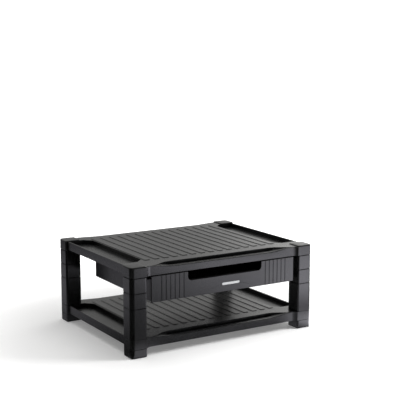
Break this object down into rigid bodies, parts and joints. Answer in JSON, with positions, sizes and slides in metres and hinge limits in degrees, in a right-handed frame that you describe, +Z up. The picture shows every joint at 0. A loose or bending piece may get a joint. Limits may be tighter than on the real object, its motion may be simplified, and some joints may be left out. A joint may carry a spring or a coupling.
{
  "type": "monitor riser stand",
  "caption": "Black plastic monitor riser: a ribbed top shelf and a lower shelf on stacked corner legs, with a device slot, side trays and a sliding drawer under the top shelf.",
  "frame": {"origin": "on the floor at the middle of the stand", "axes": "+Z up, +X along the width to the right seen from the front, the front and the drawer face -Y"},
  "size_m": [0.43, 0.335, 0.1805],
  "materials": {
    "shelf_plastic": "satin moulded charcoal black, fine even texture",
    "leg_plastic": "smooth satin moulded charcoal black",
    "cap_plastic": "smooth satin moulded charcoal black",
    "drawer_plastic": "satin moulded charcoal black",
    "rail_plastic": "plain moulded black",
    "badge_plastic": "plain light grey",
    "rubber_pad": "dull black rubber",
    "screw_steel": "zinc plated"
  },
  "bodies": {
    "stand": {"lower_shelf": "shelf_plastic", "top_shelf": "shelf_plastic", "left_rail": "rail_plastic", "right_rail": "rail_plastic", "rail_screws": "screw_steel", "front_left_foot_pad": "rubber_pad", "front_left_foot": "leg_plastic", "front_left_column": "leg_plastic", "front_left_lower_riser": "leg_plastic", "front_left_upper_riser": "leg_plastic", "front_left_cap": "cap_plastic", "front_right_foot_pad": "rubber_pad", "front_right_foot": "leg_plastic", "front_right_column": "leg_plastic", "front_right_lower_riser": "leg_plastic", "front_right_upper_riser": "leg_plastic", "front_right_cap": "cap_plastic", "back_left_foot_pad": "rubber_pad", "back_left_foot": "leg_plastic", "back_left_column": "leg_plastic", "back_left_lower_riser": "leg_plastic", "back_left_upper_riser": "leg_plastic", "back_left_cap": "cap_plastic", "back_right_foot_pad": "rubber_pad", "back_right_foot": "leg_plastic", "back_right_column": "leg_plastic", "back_right_lower_riser": "leg_plastic", "back_right_upper_riser": "leg_plastic", "back_right_cap": "cap_plastic"},
    "drawer": {"drawer_front": "drawer_plastic", "drawer_tray": "drawer_plastic", "drawer_badge": "badge_plastic"}
  },
  "joints": [
    {"name": "drawer_slide", "type": "slide", "parent": "stand", "child": "drawer", "axis": [0, -1, 0], "range_m": [0, 0.19]}
  ]
}
